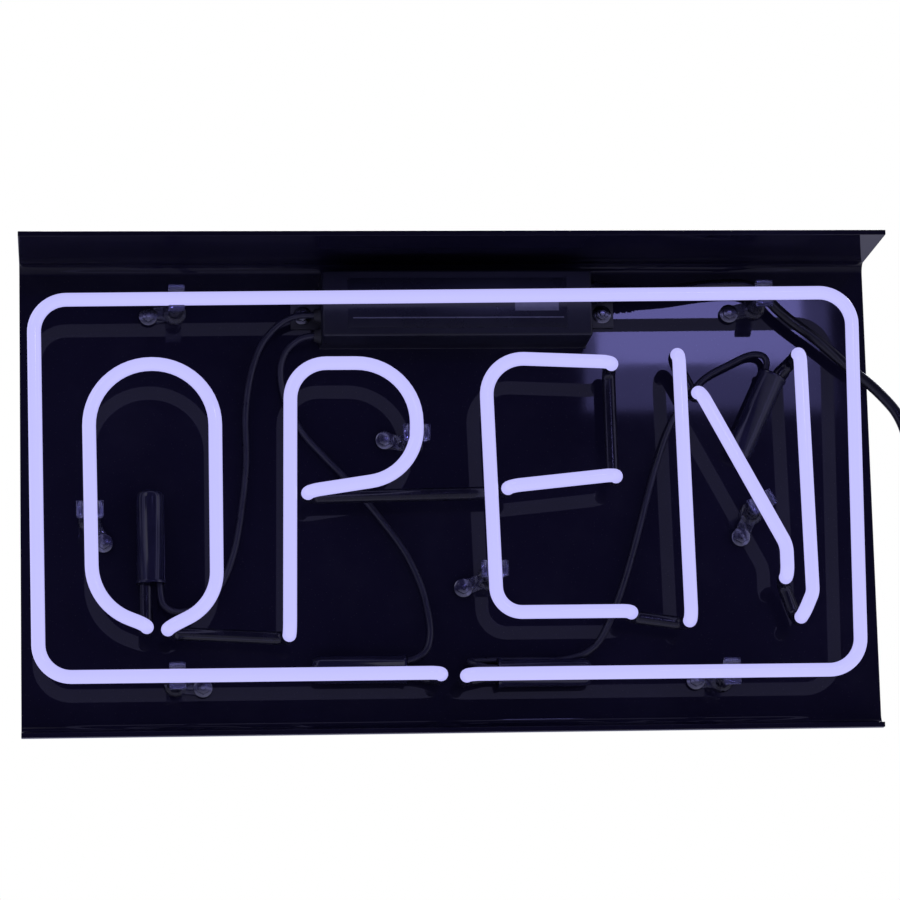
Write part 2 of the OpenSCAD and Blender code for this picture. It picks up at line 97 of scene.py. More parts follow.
def bent_path(corners: Sequence[Vector], bends: Sequence[float], steps: int = 14) -> list[Vector]:
    """Follows the middle of a tube that is bent at its corners.

    Args:
        corners: The ends of the tube and the corners between them.
        bends: The centre-line radius at each inner corner.
        steps: The pieces that each bend is divided into.

    Returns:
        Points along the tube, with each bend as an arc.
    """
    path = [corners[0]]
    for before, corner, after, bend in zip(corners, corners[1:], corners[2:], bends):
        way_in = (corner - before).normalized()
        way_out = (after - corner).normalized()
        turn = way_in.angle(way_out)
        side = (way_out - way_in.dot(way_out) * way_in).normalized()
        centre = corner - way_in * bend * math.tan(turn / 2) + side * bend
        for step in range(steps + 1):
            angle = turn * step / steps
            path.append(centre - side * bend * math.cos(angle) + way_in * bend * math.sin(angle))
    path.append(corners[-1])
    return path


def smooth_path(points: Sequence[Vector], steps: int = 6) -> list[Vector]:
    """Draws one smooth line through given points.

    Args:
        points: The points that the line goes through.
        steps: The pieces between two points.

    Returns:
        Points along the smooth line.
    """
    path = []
    last = len(points) - 1
    for i in range(last):
        a, b = points[max(i - 1, 0)], points[i]
        c, d = points[i + 1], points[min(i + 2, last)]
        for step in range(steps):
            t = step / steps
            path.append(0.5 * (2 * b + (c - a) * t + (2 * a - 5 * b + 4 * c - d) * t**2
                               + (3 * b - a - 3 * c + d) * t**3))
    path.append(points[last])
    return path


def axes_matrix(point: Vector, along: Vector, side: Vector) -> Matrix:
    """Places a shape drawn along z.

    Args:
        point: Where the shape's origin goes.
        along: The direction that z takes.
        side: The direction that x takes.

    Returns:
        The placing matrix.
    """
    along = along.normalized()
    side = (side - side.dot(along) * along).normalized()
    across = along.cross(side)
    return Matrix.Translation(point) @ Matrix((side, across, along)).transposed().to_4x4()


def turned(profile: Sequence[Spot], segments: int = 40, closed: bool = False) -> bmesh.types.BMesh:
    """Turns a profile round z.

    Args:
        profile: Radius and height of each point of the profile.
        segments: The steps of the full turn.
        closed: Whether the profile is a ring's closed outline.

    Returns:
        The turned mesh, with its faces outwards.
    """
    mesh = bmesh.new()
    verts = [mesh.verts.new((radius, 0, height)) for radius, height in profile]
    pairs = list(zip(verts, verts[1:])) + ([(verts[-1], verts[0])] if closed else [])
    edges = [mesh.edges.new(pair) for pair in pairs]
    bmesh.ops.spin(mesh, geom=verts + edges, cent=(0, 0, 0), axis=(0, 0, 1), dvec=(0, 0, 0),
                   angle=math.tau, steps=segments, use_merge=True, use_normal_flip=False,
                   use_duplicate=False)
    bmesh.ops.remove_doubles(mesh, verts=mesh.verts, dist=1e-4)
    bmesh.ops.recalc_face_normals(mesh, faces=mesh.faces)
    return mesh


def bevel_sharp(mesh: bmesh.types.BMesh, width: float, segments: int = 2, angle: float = 50) -> None:
    """Rounds the edges of a mesh that are sharper than an angle, in degrees."""
    edges = [e for e in mesh.edges if e.is_manifold and e.calc_face_angle() > math.radians(angle)]
    bmesh.ops.bevel(mesh, geom=edges, offset=width, offset_type="OFFSET", affect="EDGES",
                    segments=segments, profile=0.5, material=-1, clamp_overlap=True)


def block(low: Sequence[float], high: Sequence[float], round_off: float = 0.4,
          segments: int = 2) -> bmesh.types.BMesh:
    """Makes a block with rounded edges.

    Args:
        low: Its lowest corner.
        high: Its highest corner.
        round_off: The width of its rounded edges.
        segments: The steps across a rounded edge.

    Returns:
        The block's mesh.
    """
    mesh = bmesh.new()
    bmesh.ops.create_cube(mesh, size=1)
    low, high = Vector(low), Vector(high)
    bmesh.ops.scale(mesh, vec=high - low, verts=mesh.verts)
    bmesh.ops.translate(mesh, vec=(low + high) / 2, verts=mesh.verts)
    if round_off:
        bevel_sharp(mesh, round_off, segments)
    return mesh


def prism(sides: int, radius: float, height: float, round_off: float) -> bmesh.types.BMesh:
    """Makes an upright prism with rounded edges, standing on z = 0."""
    mesh = bmesh.new()
    bmesh.ops.create_cone(mesh, cap_ends=True, segments=sides, radius1=radius, radius2=radius, depth=height)
    bmesh.ops.translate(mesh, vec=(0, 0, height / 2), verts=mesh.verts)
    bevel_sharp(mesh, round_off, 2, 30)
    return mesh


def part_ring(inner: float, outer: float, width: float, start: float, sweep: float,
              round_off: float = 0.5, steps: int = 28) -> bmesh.types.BMesh:
    """Makes part of a ring round z.

    Args:
        inner: Its inner radius.
        outer: Its outer radius.
        width: Its width along z.
        start: The angle that it starts at, in degrees.
        sweep: The angle that it covers, in degrees.
        round_off: The width of its rounded edges.
        steps: The steps of the sweep.

    Returns:
        The ring's mesh.
    """
    mesh = bmesh.new()
    outline = [(inner, -width / 2), (outer, -width / 2), (outer, width / 2), (inner, width / 2)]
    face = mesh.faces.new([mesh.verts.new((radius, 0, height)) for radius, height in outline])
    bmesh.ops.spin(mesh, geom=[face, *face.edges, *face.verts], cent=(0, 0, 0), axis=(0, 0, 1),
                   dvec=(0, 0, 0), angle=math.radians(sweep), steps=steps, use_merge=False,
                   use_duplicate=False)
    turn = Matrix.Rotation(math.radians(start), 3, "Z")
    bmesh.ops.rotate(mesh, cent=(0, 0, 0), matrix=turn, verts=mesh.verts)
    bmesh.ops.recalc_face_normals(mesh, faces=mesh.faces)
    bevel_sharp(mesh, round_off, 2)
    return mesh


def joined(meshes: Iterable[bmesh.types.BMesh]) -> bmesh.types.BMesh:
    """Puts several meshes in one, each still a closed shape of its own."""
    whole = bmesh.new()
    for mesh in meshes:
        passing = bpy.data.meshes.new("passing")
        mesh.to_mesh(passing)
        mesh.free()
        whole.from_mesh(passing)
        bpy.data.meshes.remove(passing)
    return whole


def placed(mesh: bmesh.types.BMesh, matrix: Matrix) -> bmesh.types.BMesh:
    """Moves a mesh to its place in the panel's frame."""
    bmesh.ops.transform(mesh, matrix=matrix, verts=mesh.verts)
    return mesh


def tube(path: Sequence[Vector], radius: float, resolution: int = 7) -> bmesh.types.BMesh:
    """Sweeps a round tube along a path, with closed ends.

    Args:
        path: The points of its middle line.
        radius: Its radius.
        resolution: The steps of a quarter of its section.

    Returns:
        The tube's mesh.
    """
    rod = bpy.data.objects.new("rod", round_curve("rod", path, radius, resolution))
    bpy.context.scene.collection.objects.link(rod)
    bpy.context.view_layer.update()
    drawn = bpy.data.meshes.new_from_object(rod.evaluated_get(bpy.context.evaluated_depsgraph_get()))
    mesh = bmesh.new()
    mesh.from_mesh(drawn)
    curve = rod.data
    bpy.data.objects.remove(rod)
    bpy.data.curves.remove(curve)
    bpy.data.meshes.remove(drawn)
    bmesh.ops.remove_doubles(mesh, verts=mesh.verts, dist=1e-4)
    bmesh.ops.recalc_face_normals(mesh, faces=mesh.faces)
    return mesh


def round_curve(name: str, path: Sequence[Vector], radius: float, resolution: int) -> bpy.types.Curve:
    """Makes the curve of one open line with a round section."""
    curve = bpy.data.curves.new(name, "CURVE")
    curve.dimensions = "3D"
    curve.bevel_depth = radius
    curve.bevel_resolution = resolution
    curve.use_fill_caps = True
    line = curve.splines.new("POLY")
    line.points.add(len(path) - 1)
    for point, place in zip(line.points, path):
        point.co = (*place, 1)
    return curve


# Shader node groups and finishes


class NodeBench:
    """Adds and joins nodes in one tree."""

    def __init__(self, tree: bpy.types.NodeTree) -> None:
        """Keeps the tree."""
        self.tree = tree

    def add(self, kind: str, **settings: object) -> bpy.types.Node:
        """Adds a node and sets its own properties or its inputs' values by name."""
        node = self.tree.nodes.new(kind)
        for name, value in settings.items():
            label = name.replace("_", " ")
            if hasattr(node, name):
                setattr(node, name, value)
            else:
                node.inputs[label.title() if label.title() in node.inputs else label].default_value = value
        return node

    def join(self, source: Socket, target: Socket) -> None:
        """Links one socket to another."""
        self.tree.links.new(source, target)

    def ramp(self, source: Socket, low: float, high: float,
             to_low: float = 0.0, to_high: float = 1.0) -> Socket:
        """Maps a value from one range to another and keeps it there."""
        node = self.add("ShaderNodeMapRange")
        self.join(source, node.inputs["Value"])
        for name, value in zip(("From Min", "From Max", "To Min", "To Max"), (low, high, to_low, to_high)):
            node.inputs[name].default_value = value
        return node.outputs["Result"]

    def mix(self, share: Socket, a: Socket, b: Socket) -> Socket:
        """Mixes two colours by a share."""
        node = self.tree.nodes.new("ShaderNodeMix")
        node.data_type = "RGBA"
        self.join(share, node.inputs[0])
        self.join(a, node.inputs[6])
        self.join(b, node.inputs[7])
        return node.outputs[2]


@dataclass(frozen=True)
class GroupSockets:
    """Names of a node group's inputs and outputs, by kind."""

    numbers: tuple[str, ...]
    colours: tuple[str, ...]
    out_numbers: tuple[str, ...]
    out_colours: tuple[str, ...]


def new_group(name: str, sockets: GroupSockets) -> tuple[NodeBench, bpy.types.Node, bpy.types.Node]:
    """Starts a node group.

    Args:
        name: The group's name.
        sockets: Its inputs and outputs.

    Returns:
        The bench for its nodes, its input node and its output node.
    """
    tree = bpy.data.node_groups.new(name, "ShaderNodeTree")
    for label in sockets.colours:
        tree.interface.new_socket(label, in_out="INPUT", socket_type="NodeSocketColor")
    for label in sockets.numbers:
        tree.interface.new_socket(label, in_out="INPUT", socket_type="NodeSocketFloat")
    for label in sockets.out_colours:
        tree.interface.new_socket(label, in_out="OUTPUT", socket_type="NodeSocketColor")
    for label in sockets.out_numbers:
        tree.interface.new_socket(label, in_out="OUTPUT", socket_type="NodeSocketFloat")
    bench = NodeBench(tree)
    return bench, bench.add("NodeGroupInput"), bench.add("NodeGroupOutput")


def mottle_group() -> bpy.types.NodeTree:
    """Builds the group for moulded and painted surfaces: two tones, a varying gloss and a fine grain."""
    bench, way_in, way_out = new_group("mottle", GroupSockets(
        ("Patch scale", "Grain scale", "Gloss low", "Gloss high"), ("Tone A", "Tone B"),
        ("Roughness", "Height"), ("Colour",)))
    place = bench.add("ShaderNodeTexCoord").outputs["Object"]
    patches = bench.add("ShaderNodeTexNoise", Detail=5.0, Roughness=0.6)
    grain = bench.add("ShaderNodeTexNoise", Detail=3.0, Roughness=0.7)
    for noise, scale in ((patches, "Patch scale"), (grain, "Grain scale")):
        bench.join(place, noise.inputs["Vector"])
        bench.join(way_in.outputs[scale], noise.inputs["Scale"])
    share = bench.ramp(patches.outputs["Fac"], 0.35, 0.65)
    tones = bench.mix(share, way_in.outputs["Tone A"], way_in.outputs["Tone B"])
    bench.join(tones, way_out.inputs["Colour"])
    gloss = bench.add("ShaderNodeMapRange")
    bench.join(patches.outputs["Fac"], gloss.inputs["Value"])
    gloss.inputs["From Min"].default_value = 0.3
    gloss.inputs["From Max"].default_value = 0.7
    bench.join(way_in.outputs["Gloss low"], gloss.inputs["To Min"])
    bench.join(way_in.outputs["Gloss high"], gloss.inputs["To Max"])
    bench.join(gloss.outputs["Result"], way_out.inputs["Roughness"])
    bench.join(grain.outputs["Fac"], way_out.inputs["Height"])
    return bench.tree


def dust_group() -> bpy.types.NodeTree:
    """Builds the group for settled dust: small specks and faint wipes."""
    bench, way_in, way_out = new_group("dust", GroupSockets(("Speck scale", "Amount"), (), ("Mask",), ()))
    place = bench.add("ShaderNodeTexCoord").outputs["Object"]
    specks = bench.add("ShaderNodeTexVoronoi", feature="F1")
    wipes = bench.add("ShaderNodeTexNoise", Scale=14.0, Detail=4.0, Roughness=0.7)
    bench.join(place, specks.inputs["Vector"])
    bench.join(place, wipes.inputs["Vector"])
    bench.join(way_in.outputs["Speck scale"], specks.inputs["Scale"])
    dots = bench.ramp(specks.outputs["Distance"], 0.05, 0.12, 1.0, 0.0)
    film = bench.ramp(wipes.outputs["Fac"], 0.5, 0.8, 0.0, 0.18)
    both = bench.add("ShaderNodeMath", operation="MAXIMUM")
    bench.join(dots, both.inputs[0])
    bench.join(film, both.inputs[1])
    scaled = bench.add("ShaderNodeMath", operation="MULTIPLY")
    bench.join(both.outputs[0], scaled.inputs[0])
    bench.join(way_in.outputs["Amount"], scaled.inputs[1])
    bench.join(scaled.outputs[0], way_out.inputs["Mask"])
    return bench.tree


@dataclass(frozen=True)
class Finish:
    """One finish of the sign, made of the shared groups and a Principled shader."""

    name: str
    tone_a: Colour
    tone_b: Colour
    gloss: Span
    patch_scale: float = 30.0
    grain_scale: float = 900.0
    bump: float = 0.05
    metallic: float = 0.0
    transmission: float = 0.0
    ior: float = 1.49
    coat: float = 0.0
    dust: float = 0.0
    dust_scale: float = 260.0
    glow: Colour | None = None
    glow_edge: Colour | None = None
    glow_strength: float = 0.0

    def material(self) -> bpy.types.Material:
        """Builds the finish's material."""
        made = bpy.data.materials.new(self.name)
        made.use_nodes = True
        bench = NodeBench(made.node_tree)
        shader = made.node_tree.nodes["Principled BSDF"]
        for socket, value in (("Metallic", self.metallic), ("Transmission Weight", self.transmission),
                              ("IOR", self.ior), ("Coat Weight", self.coat)):
            shader.inputs[socket].default_value = value
        mottle = bench.add("ShaderNodeGroup", node_tree=bpy.data.node_groups["mottle"])
        mottle.inputs["Tone A"].default_value = (*self.tone_a, 1)
        mottle.inputs["Tone B"].default_value = (*self.tone_b, 1)
        mottle.inputs["Patch scale"].default_value = self.patch_scale
        mottle.inputs["Grain scale"].default_value = self.grain_scale
        mottle.inputs["Gloss low"].default_value = self.gloss[0]
        mottle.inputs["Gloss high"].default_value = self.gloss[1]
        colour = mottle.outputs["Colour"]
        rough = mottle.outputs["Roughness"]
        if self.dust:
            colour, rough = self.dusted(bench, colour, rough)
        bench.join(colour, shader.inputs["Base Color"])
        bench.join(rough, shader.inputs["Roughness"])
        bump = bench.add("ShaderNodeBump", Strength=self.bump, Distance=0.0002)
        bench.join(mottle.outputs["Height"], bump.inputs["Height"])
        bench.join(bump.outputs["Normal"], shader.inputs["Normal"])
        if self.glow:
            self.light_up(bench, shader)
        return made

    def dusted(self, bench: NodeBench, colour: Socket,
               rough: Socket) -> tuple[Socket, Socket]:
        """Lays dust over a colour and a roughness.

        Args:
            bench: The material's bench.
            colour: The clean colour.
            rough: The clean roughness.

        Returns:
            The dusty colour and roughness.
        """
        dust = bench.add("ShaderNodeGroup", node_tree=bpy.data.node_groups["dust"])
        dust.inputs["Speck scale"].default_value = self.dust_scale
        dust.inputs["Amount"].default_value = self.dust
        grey = bench.add("ShaderNodeRGB")
        grey.outputs[0].default_value = (0.32, 0.31, 0.36, 1)
        dull = bench.add("ShaderNodeMath", operation="MAXIMUM")
        bench.join(rough, dull.inputs[0])
        bench.join(dust.outputs["Mask"], dull.inputs[1])
        return bench.mix(dust.outputs["Mask"], colour, grey.outputs[0]), dull.outputs[0]

    def light_up(self, bench: NodeBench, shader: bpy.types.Node) -> None:
        """Makes the finish glow, a little deeper in colour towards its outline."""
        facing = bench.add("ShaderNodeLayerWeight", Blend=0.35)
        core, edge = bench.add("ShaderNodeRGB"), bench.add("ShaderNodeRGB")
        core.outputs[0].default_value = (*self.glow, 1)
        edge.outputs[0].default_value = (*(self.glow_edge or self.glow), 1)
        lit = bench.mix(facing.outputs["Facing"], core.outputs[0], edge.outputs[0])
        bench.join(lit, shader.inputs["Emission Color"])
        shader.inputs["Emission Strength"].default_value = self.glow_strength


class Finishes(Enum):
    """The sign's finishes, each named for the record's slot that it dresses."""

    BOARD = Finish("board_acrylic", tone_a=(0.0095, 0.0082, 0.022), tone_b=(0.012, 0.0105, 0.027),
                   gloss=(0.015, 0.05), patch_scale=9.0, grain_scale=600.0, bump=0.004, ior=1.29,
                   dust=0.10, dust_scale=420.0)
    LIT = Finish("lit_glass", tone_a=(0.10, 0.10, 0.16), tone_b=(0.12, 0.12, 0.18),
                 gloss=(0.03, 0.07), patch_scale=40.0, grain_scale=300.0, bump=0.02,
                 glow=(0.56, 0.55, 1.0), glow_edge=(0.50, 0.48, 0.96), glow_strength=0.97)
    BLACKED = Finish("black_glass", tone_a=(0.006, 0.006, 0.014), tone_b=(0.012, 0.011, 0.024),
                     gloss=(0.10, 0.26), patch_scale=120.0, grain_scale=700.0, bump=0.12, dust=0.04,
                     dust_scale=700.0)
    BOOT = Finish("boot_silicone", tone_a=(0.014, 0.0135, 0.034), tone_b=(0.020, 0.019, 0.046),
                  gloss=(0.14, 0.22), patch_scale=60.0, grain_scale=900.0, bump=0.02, ior=1.41,
                  coat=0.3)
    LEAD = Finish("lead_silicone", tone_a=(0.014, 0.0135, 0.030), tone_b=(0.021, 0.020, 0.042),
                  gloss=(0.26, 0.40), patch_scale=160.0, grain_scale=1500.0, bump=0.08, dust=0.03,
                  dust_scale=900.0)
    SUPPORT = Finish("support_plastic", tone_a=(0.40, 0.40, 0.60), tone_b=(0.50, 0.50, 0.70),
                     gloss=(0.04, 0.10), patch_scale=60.0, grain_scale=1200.0, bump=0.04,
                     transmission=0.94, ior=1.49)
    ELECTRODE = Finish("electrode_metal", tone_a=(0.52, 0.52, 0.54), tone_b=(0.60, 0.60, 0.62),
                       gloss=(0.22, 0.34), metallic=1.0)
    STEEL = Finish("fastener_steel", tone_a=(0.14, 0.14, 0.18), tone_b=(0.24, 0.24, 0.29),
                   gloss=(0.16, 0.32), patch_scale=220.0, grain_scale=1800.0, bump=0.10,
                   metallic=1.0)
    BASE = Finish("supply_base_metal", tone_a=(0.05, 0.05, 0.06), tone_b=(0.07, 0.07, 0.08),
                  gloss=(0.38, 0.50), patch_scale=60.0, grain_scale=1600.0, bump=0.12)
    CASE = Finish("supply_plastic", tone_a=(0.007, 0.007, 0.016), tone_b=(0.010, 0.010, 0.021),
                  gloss=(0.34, 0.46), patch_scale=50.0, grain_scale=2200.0, bump=0.22, dust=0.14,
                  dust_scale=600.0)
    BOARD_GREEN = Finish("circuit_laminate", tone_a=(0.03, 0.16, 0.06), tone_b=(0.04, 0.20, 0.08),
                         gloss=(0.30, 0.42), coat=0.3)
    FERRITE = Finish("ferrite", tone_a=(0.020, 0.020, 0.022), tone_b=(0.035, 0.034, 0.036),
                     gloss=(0.5, 0.7), patch_scale=90.0, grain_scale=1200.0, bump=0.3)
    COPPER = Finish("copper_wire", tone_a=(0.42, 0.16, 0.06), tone_b=(0.52, 0.22, 0.09),
                    gloss=(0.24, 0.36), metallic=1.0, coat=0.4)
    SLEEVE = Finish("capacitor_sleeve", tone_a=(0.03, 0.05, 0.14), tone_b=(0.04, 0.07, 0.18),
                    gloss=(0.20, 0.30), coat=0.3)
    ALUMINIUM = Finish("heat_sink_aluminium", tone_a=(0.58, 0.59, 0.61), tone_b=(0.66, 0.67, 0.69),
                       gloss=(0.30, 0.44), metallic=1.0)
    BUSHING = Finish("bushing_rubber", tone_a=(0.012, 0.012, 0.014), tone_b=(0.020, 0.020, 0.023),
                     gloss=(0.5, 0.66), patch_scale=90.0, grain_scale=1500.0, bump=0.2)
    LABEL = Finish("blank_label", tone_a=(0.008, 0.008, 0.018), tone_b=(0.011, 0.011, 0.023),
                   gloss=(0.24, 0.34), patch_scale=40.0, grain_scale=1500.0, bump=0.05, dust=0.06,
                   dust_scale=700.0)
    LABEL_PRINT = Finish("label_print", tone_a=(0.10, 0.10, 0.15), tone_b=(0.13, 0.13, 0.18),
                         gloss=(0.3, 0.4), patch_scale=200.0, grain_scale=1500.0, bump=0.05)
    CORD = Finish("cord_pvc", tone_a=(0.004, 0.004, 0.008), tone_b=(0.007, 0.007, 0.013),
                  gloss=(0.24, 0.34), patch_scale=60.0, grain_scale=1300.0, bump=0.10, dust=0.06,
                  dust_scale=800.0)
    PLUG = Finish("plug_pvc", tone_a=(0.014, 0.014, 0.017), tone_b=(0.020, 0.020, 0.024),
                  gloss=(0.38, 0.5), patch_scale=60.0, grain_scale=1800.0, bump=0.2)
    PIN = Finish("pin_brass", tone_a=(0.62, 0.47, 0.20), tone_b=(0.70, 0.55, 0.26),
                 gloss=(0.20, 0.34), patch_scale=150.0, grain_scale=1500.0, bump=0.08, metallic=1.0)


class Paintbox:
    """Builds each finish once."""

    def __init__(self) -> None:
        """Builds the shared groups."""
        mottle_group()
        dust_group()
        self.made: dict[str, bpy.types.Material] = {}

    def get(self, finish: Finishes) -> bpy.types.Material:
        """Returns a finish's material, built on its first use."""
        if finish.value.name not in self.made:
            self.made[finish.value.name] = finish.value.material()
        return self.made[finish.value.name]


@dataclass
class Workshop:
    """Turns meshes in the panel's frame into pieces of the sign."""

    nodes: dict[str, bpy.types.Object]
    paint: Paintbox

    def piece(self, name: str, mesh: bmesh.types.BMesh, finish: Finishes, replaces: Sequence[str] = (),
              slot: str = "", sharp: float = 38.0) -> bpy.types.Object:
        """Makes a piece that rides on the sign.

        Args:
            name: The piece's name.
            mesh: Its mesh in the panel's frame, which is used up.
            finish: Its finish.
            replaces: The CAD nodes that it stands for.
            slot: The record's slot, where it isn't the finish's own name; not used.
            sharp: The angle between faces from which an edge stays sharp, in degrees.

        Returns:
            The piece's object.
        """
        bmesh.ops.transform(mesh, matrix=STAND_UP, verts=mesh.verts)
        data = bpy.data.meshes.new(name)
        mesh.to_mesh(data)
        mesh.free()
        data.shade_smooth()
        data.set_sharp_from_angle(angle=math.radians(sharp))
        made = bpy.data.objects.new(name, data)
        bpy.context.scene.collection.objects.link(made)
        return self.dress(made, finish, replaces, slot)

    def dress(self, made: bpy.types.Object, finish: Finishes, replaces: Sequence[str],
              slot: str = "") -> bpy.types.Object:
        """Gives a new object its material, its body and the nodes that it replaces."""
        made.data.materials.append(self.paint.get(finish))
        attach(made, BODY)
        if replaces:
            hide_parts(*replaces)
        log.info("%s: %s", made.name, finish.value.name)
        return made

    def repaint(self, node: str, finish: Finishes) -> None:
        """Gives a CAD node its finish and keeps its mesh."""
        data = self.nodes[node].data
        data.materials.clear()
        data.materials.append(self.paint.get(finish))
        log.info("%s: CAD node in %s", node, finish.value.name)


# Sub-assemblies


@dataclass
class Studio:
    """Camera, floor and soft light."""

    camera_place: Point = (-228.7, -2403.0, -432.5)
    camera_turn: Angles = (-0.1899, -0.0067, 0.0936)
    lens: float = 164.85
    floor_drop: float = 0.62

    def build(self) -> None:
        """Builds the camera, the floor and the lights, and keeps the colours plain."""
        bpy.context.scene.view_settings.view_transform = "Standard"
        self.add_camera()
        self.add_floor()
        self.add_world()
        self.add_light("window", (0.535, -2.40, 0.640), (0.535, 0.0, 0.640), size=(0.25, 0.10),
                       energy=1.0, colour=DUSK)
        self.add_light("sill", (0.545, -2.41, 0.605), (0.545, 0.0, 0.605), size=(0.30, 0.14),
                       energy=0.6, colour=DUSK)
        self.add_light("key", (-1.7, -1.5, 1.5), MIDDLE, size=(1.2, 1.2), energy=4.0, colour=COOL)
        self.add_light("side", (1.9, -0.9, 0.3), MIDDLE, size=(0.8, 1.4), energy=2.5, colour=COOL)
        self.add_light("back", (0.4, 2.0, 1.6), MIDDLE, size=(1.6, 1.6), energy=40.0, colour=WHITE)

    def add_camera(self) -> None:
        """Places the camera below and to the left, looking up at the sign."""
        data = bpy.data.cameras.new("camera")
        data.lens = self.lens
        data.sensor_width = 36.0
        data.clip_end = 50.0
        camera = bpy.data.objects.new("camera", data)
        bpy.context.scene.collection.objects.link(camera)
        right, ahead, up = Euler(self.camera_turn, "XYZ").to_matrix()
        turn = Matrix((right, up, -ahead)).transposed().to_4x4()
        camera.matrix_world = Matrix.Translation(Vector(self.camera_place) * MM) @ turn
        bpy.context.scene.camera = camera

    def add_floor(self) -> None:
        """Lays a plain pale floor well below the hanging sign."""
        mesh = bmesh.new()
        bmesh.ops.create_grid(mesh, x_segments=1, y_segments=1, size=6.0)
        bmesh.ops.translate(mesh, vec=(0, 0, -self.floor_drop), verts=mesh.verts)
        data = bpy.data.meshes.new("floor")
        mesh.to_mesh(data)
        mesh.free()
        floor = bpy.data.objects.new("floor", data)
        bpy.context.scene.collection.objects.link(floor)
        pale = bpy.data.materials.new("floor_pale")
        pale.use_nodes = True
        pale.node_tree.nodes["Principled BSDF"].inputs["Base Color"].default_value = (0.8, 0.8, 0.82, 1)
        pale.node_tree.nodes["Principled BSDF"].inputs["Roughness"].default_value = 0.9
        data.materials.append(pale)

    def add_world(self) -> None:
        """Makes a white surround behind the sign and a dim room in front of it."""
        world = bpy.data.worlds.new("room")
        bpy.context.scene.world = world
        world.use_nodes = True
        bench = NodeBench(world.node_tree)
        world.node_tree.nodes.clear()
        output = bench.add("ShaderNodeOutputWorld")
        direction = bench.add("ShaderNodeSeparateXYZ")
        bench.join(bench.add("ShaderNodeTexCoord").outputs["Generated"], direction.inputs[0])
        behind = bench.ramp(direction.outputs["Y"], -0.15, 0.35)
        dim, pale = bench.add("ShaderNodeRGB"), bench.add("ShaderNodeRGB")
        dim.outputs[0].default_value = (0.045, 0.04, 0.12, 1)
        pale.outputs[0].default_value = (0.42, 0.42, 0.62, 1)
        room = bench.add("ShaderNodeBackground")
        bench.join(bench.mix(behind, dim.outputs[0], pale.outputs[0]), room.inputs["Color"])
        seen = bench.add("ShaderNodeBackground")
        seen.inputs["Color"].default_value = (1, 1, 1, 1)
        seen.inputs["Strength"].default_value = 1.0
        which = bench.add("ShaderNodeMixShader")
        bench.join(bench.add("ShaderNodeLightPath").outputs["Is Camera Ray"], which.inputs[0])
        bench.join(room.outputs[0], which.inputs[1])
        bench.join(seen.outputs[0], which.inputs[2])
        bench.join(which.outputs[0], output.inputs["Surface"])

    def add_light(self, name: str, place: Sequence[float], target: Sequence[float],
                  size: Span, energy: float, colour: Sequence[float]) -> None:
        """Hangs one soft light.

        Args:
            name: The light's name.
            place: Where it hangs, in metres.
            target: The point that it faces.
            size: Its width and height.
            energy: Its power in watts.
            colour: Its colour.
        """
        data = bpy.data.lights.new(name, "AREA")
        data.shape = "RECTANGLE"
        data.size, data.size_y = size
        data.energy = energy
        data.color = colour
        light = bpy.data.objects.new(name, data)
        bpy.context.scene.collection.objects.link(light)
        facing = (Vector(target) - Vector(place)).to_track_quat("-Z", "Y").to_matrix().to_4x4()
        light.matrix_world = Matrix.Translation(place) @ facing


